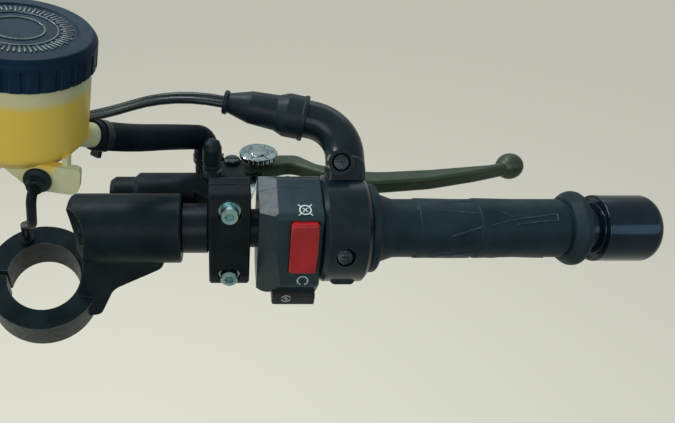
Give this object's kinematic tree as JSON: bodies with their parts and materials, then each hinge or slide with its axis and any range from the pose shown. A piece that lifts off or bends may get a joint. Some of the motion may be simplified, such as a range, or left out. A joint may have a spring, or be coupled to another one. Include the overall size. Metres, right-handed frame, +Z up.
{
  "type": "motorcycle right handlebar control assembly",
  "caption": "Right clip-on handlebar of a sport touring motorcycle with twist grip, front brake master cylinder, lever, remote reservoir and switch housing.",
  "frame": {"origin": "centre of the fork clamp bore, halfway up the clamp", "axes": "+X along the handlebar towards its outer end, +Y forward, +Z up"},
  "size_m": [0.4554, 0.1592, 0.2069],
  "materials": {
    "dark_satin_paint": "satin black paint over the forged alloy",
    "bare_aluminium": "machined and clear anodised",
    "zinc_steel": "zinc plated steel",
    "black_paint": "satin black",
    "case_paint": "dark satin paint on cast metal",
    "black_plastic": "fine grained black plastic",
    "gloss_plastic": "smooth black plastic with a bluish sheen",
    "red_plastic": "glossy red plastic",
    "milky_plastic": "translucent milky plastic",
    "amber_fluid": "amber brake fluid",
    "grip_rubber": "moulded grip rubber",
    "soft_rubber": "smooth black rubber",
    "cable_sheath": "black cable sheath"
  },
  "bodies": {
    "holder": {"bar_holder": "dark_satin_paint", "holder_pinch_bolt": "zinc_steel", "handlebar_tube": "black_paint", "bar_end_weight": "black_paint", "bar_end_screw": "zinc_steel", "master_clamp_cap": "black_paint", "clamp_bolts": "zinc_steel", "master_cylinder_body": "black_paint", "lever_pivot_bolt": "zinc_steel", "piston_boot": "soft_rubber", "brake_light_switch": "black_plastic", "bleed_screw": "zinc_steel", "bleed_cap": "soft_rubber", "inlet_stub": "black_plastic", "reservoir_hose": "soft_rubber", "hose_clips": "zinc_steel", "reservoir_body": "milky_plastic", "brake_fluid": "amber_fluid", "reservoir_cap": "gloss_plastic", "reservoir_grommet": "soft_rubber", "stay_retainer": "zinc_steel", "reservoir_stay": "black_paint", "throttle_case_front": "case_paint", "throttle_case_rear": "case_paint", "throttle_case_screws": "zinc_steel", "cable_boot": "soft_rubber", "throttle_cable_closing": "cable_sheath", "throttle_cable_opening": "cable_sheath", "cable_coil_closing": "cable_sheath", "cable_coil_opening": "cable_sheath", "cable_ferrules": "zinc_steel", "switch_case_front": "black_plastic", "switch_case_rear": "black_plastic", "switch_case_screws": "zinc_steel", "kill_switch_rocker": "red_plastic", "starter_button": "black_plastic"},
    "throttle_grip": {"throttle_tube": "black_plastic", "grip_rubber": "grip_rubber"},
    "brake_lever": {"lever_blade": "black_paint", "lever_knuckle": "bare_aluminium", "adjuster_dial": "bare_aluminium"}
  },
  "joints": [
    {"name": "throttle_twist", "type": "hinge", "parent": "holder", "child": "throttle_grip", "pos_m": [0.25, 0, 0.046], "axis": [1, 0, 0], "range_deg": [0, 70], "stiffness_Nm_per_rad": 0.25, "springref_deg": -17.19},
    {"name": "brake_lever_pivot", "type": "hinge", "parent": "holder", "child": "brake_lever", "pos_m": [0.1165, 0.06176, 0.0406], "axis": [0, -0.0872, -0.9962], "range_deg": [0, 11], "stiffness_Nm_per_rad": 2, "springref_deg": -8.59}
  ]
}
